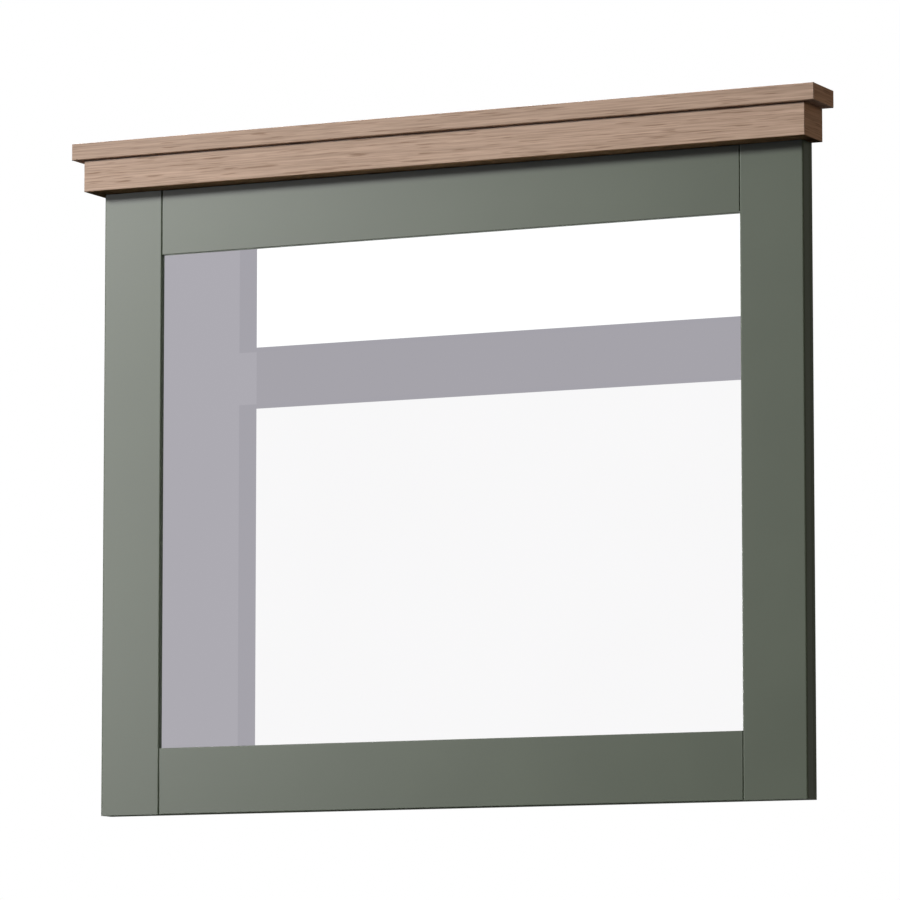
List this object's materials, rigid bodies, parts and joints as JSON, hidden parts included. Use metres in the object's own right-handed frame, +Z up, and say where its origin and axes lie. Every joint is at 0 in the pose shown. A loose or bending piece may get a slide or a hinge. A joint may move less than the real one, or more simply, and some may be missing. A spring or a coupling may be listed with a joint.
{
  "type": "hall mirror",
  "caption": "Wall-hung rectangular mirror in a flat painted frame with an overhanging stepped wood cornice, hung on keyhole plates.",
  "frame": {"origin": "on the back plane of the frame, halfway between the entry holes of the two hanging keyholes", "axes": "+X to the right as seen from the front, +Y towards the wall, +Z up; the mirror faces -Y"},
  "size_m": [0.952, 0.0625, 0.8],
  "materials": {
    "frame_paint": "grey-green satin lacquer on fibreboard",
    "batten_paint": "grey-green matt lacquer on fibreboard",
    "oak_laminate": "pale oak laminate with a fine straight grain",
    "oak_edging": "oak-print plastic edging",
    "mirror": "flat silvered glass",
    "backing": "raw brown hardboard",
    "foam": "grey polyethylene foam",
    "block_rubber": "black rubber",
    "dowel_beech": "plain beech",
    "zinc": "bright zinc-plated steel",
    "felt": "dark grey wool felt"
  },
  "bodies": {
    "mirror": {"left_stile": "frame_paint", "right_stile": "frame_paint", "top_rail": "frame_paint", "bottom_rail": "frame_paint", "frame_dowels": "dowel_beech", "left_batten": "batten_paint", "right_batten": "batten_paint", "top_batten": "batten_paint", "bottom_batten": "batten_paint", "batten_screws": "zinc", "mirror_glass": "mirror", "setting_blocks": "block_rubber", "cushion_sheet": "foam", "backing_board": "backing", "fascia_board": "oak_laminate", "fascia_front_edging": "oak_edging", "fascia_left_edging": "oak_edging", "fascia_right_edging": "oak_edging", "fascia_dowels": "dowel_beech", "fascia_screws": "zinc", "cap_board": "oak_laminate", "cap_front_edging": "oak_edging", "cap_left_edging": "oak_edging", "cap_right_edging": "oak_edging", "cap_dowels": "dowel_beech", "left_hanger_plate": "zinc", "right_hanger_plate": "zinc", "hanger_screws": "zinc", "turn_button_screws": "zinc", "wall_pads": "felt"},
    "turn_button_left_upper": {"turn_button_left_upper": "zinc"},
    "turn_button_left_lower": {"turn_button_left_lower": "zinc"},
    "turn_button_right_upper": {"turn_button_right_upper": "zinc"},
    "turn_button_right_lower": {"turn_button_right_lower": "zinc"},
    "turn_button_top_left": {"turn_button_top_left": "zinc"},
    "turn_button_top_right": {"turn_button_top_right": "zinc"},
    "turn_button_bottom_left": {"turn_button_bottom_left": "zinc"},
    "turn_button_bottom_right": {"turn_button_bottom_right": "zinc"}
  },
  "joints": [
    {"name": "turn_button_left_upper_swivel", "type": "hinge", "parent": "mirror", "child": "turn_button_left_upper", "pos_m": [-0.395, -0.00805, -0.158], "axis": [0, 1, 0], "range_deg": [-90, 90]},
    {"name": "turn_button_left_lower_swivel", "type": "hinge", "parent": "mirror", "child": "turn_button_left_lower", "pos_m": [-0.395, -0.00805, -0.464], "axis": [0, 1, 0], "range_deg": [-90, 90]},
    {"name": "turn_button_right_upper_swivel", "type": "hinge", "parent": "mirror", "child": "turn_button_right_upper", "pos_m": [0.395, -0.00805, -0.158], "axis": [0, 1, 0], "range_deg": [-90, 90]},
    {"name": "turn_button_right_lower_swivel", "type": "hinge", "parent": "mirror", "child": "turn_button_right_lower", "pos_m": [0.395, -0.00805, -0.464], "axis": [0, 1, 0], "range_deg": [-90, 90]},
    {"name": "turn_button_top_left_swivel", "type": "hinge", "parent": "mirror", "child": "turn_button_top_left", "pos_m": [-0.231, -0.00805, 0.006], "axis": [0, 1, 0], "range_deg": [-90, 90]},
    {"name": "turn_button_top_right_swivel", "type": "hinge", "parent": "mirror", "child": "turn_button_top_right", "pos_m": [0.231, -0.00805, 0.006], "axis": [0, 1, 0], "range_deg": [-90, 90]},
    {"name": "turn_button_bottom_left_swivel", "type": "hinge", "parent": "mirror", "child": "turn_button_bottom_left", "pos_m": [-0.231, -0.00805, -0.628], "axis": [0, 1, 0], "range_deg": [-90, 90]},
    {"name": "turn_button_bottom_right_swivel", "type": "hinge", "parent": "mirror", "child": "turn_button_bottom_right", "pos_m": [0.231, -0.00805, -0.628], "axis": [0, 1, 0], "range_deg": [-90, 90]}
  ]
}
